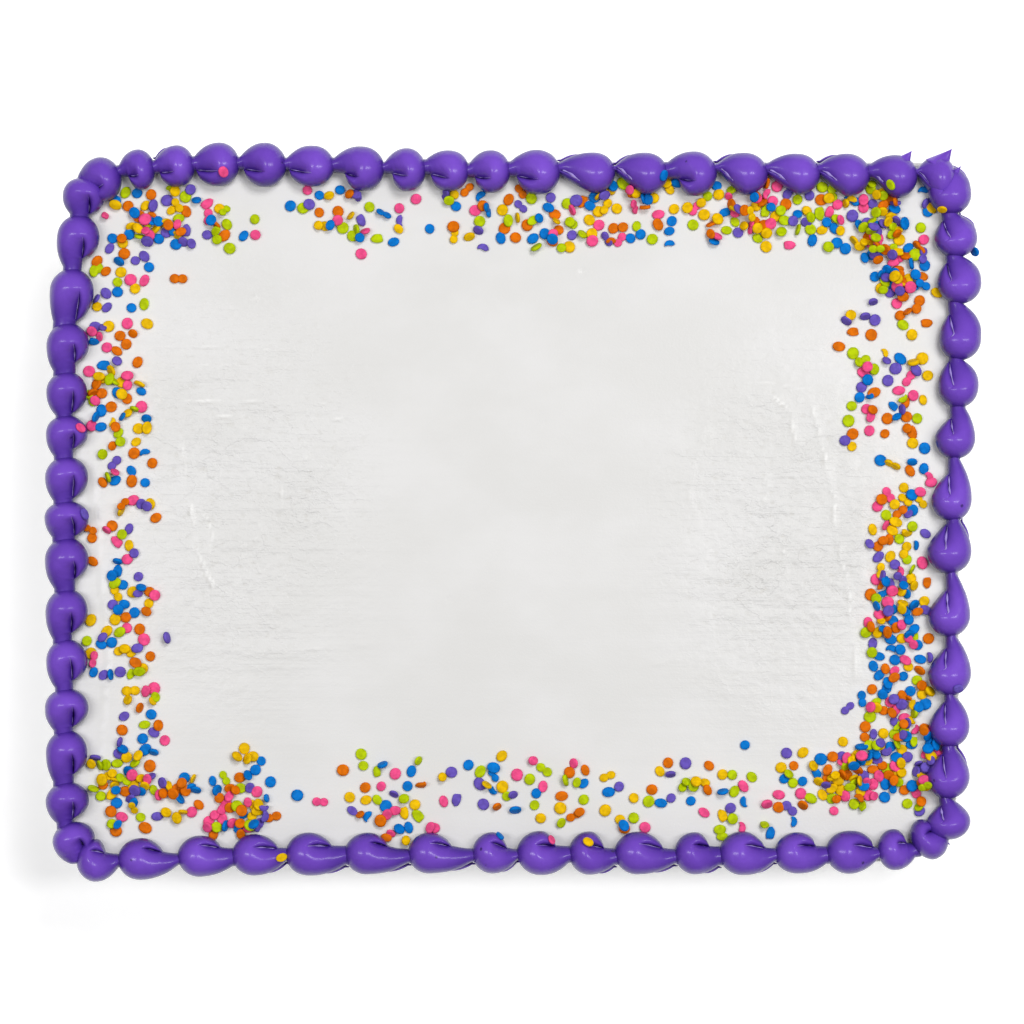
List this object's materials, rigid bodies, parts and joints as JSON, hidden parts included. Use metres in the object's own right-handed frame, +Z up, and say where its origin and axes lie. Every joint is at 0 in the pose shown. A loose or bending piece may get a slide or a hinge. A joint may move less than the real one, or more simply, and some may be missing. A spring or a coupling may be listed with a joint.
{
  "type": "iced sheet cake",
  "caption": "Rectangular sheet cake with smooth white icing, a purple piped bead border round its top edge and a band of confetti sprinkles just inside it.",
  "frame": {"origin": "middle of the whole cake, on the surface it stands on", "axes": "+Z up; +X along the cake's long side, towards the picture's right; +Y towards the picture's top edge"},
  "size_m": [0.4102, 0.3241, 0.0821],
  "materials": {
    "white_icing": "smooth satin whipped icing",
    "purple_icing": "soft gloss piped icing",
    "quin_orange": "satin sugar confetti",
    "quin_pink": "satin sugar confetti",
    "quin_yellow": "satin sugar confetti",
    "quin_lime": "satin sugar confetti",
    "quin_blue": "satin sugar confetti",
    "quin_purple": "satin sugar confetti"
  },
  "bodies": {
    "root": {"iced_cake": "white_icing", "border_back": "purple_icing", "border_left": "purple_icing", "border_front": "purple_icing", "border_right": "purple_icing"}
  },
  "joints": []
}
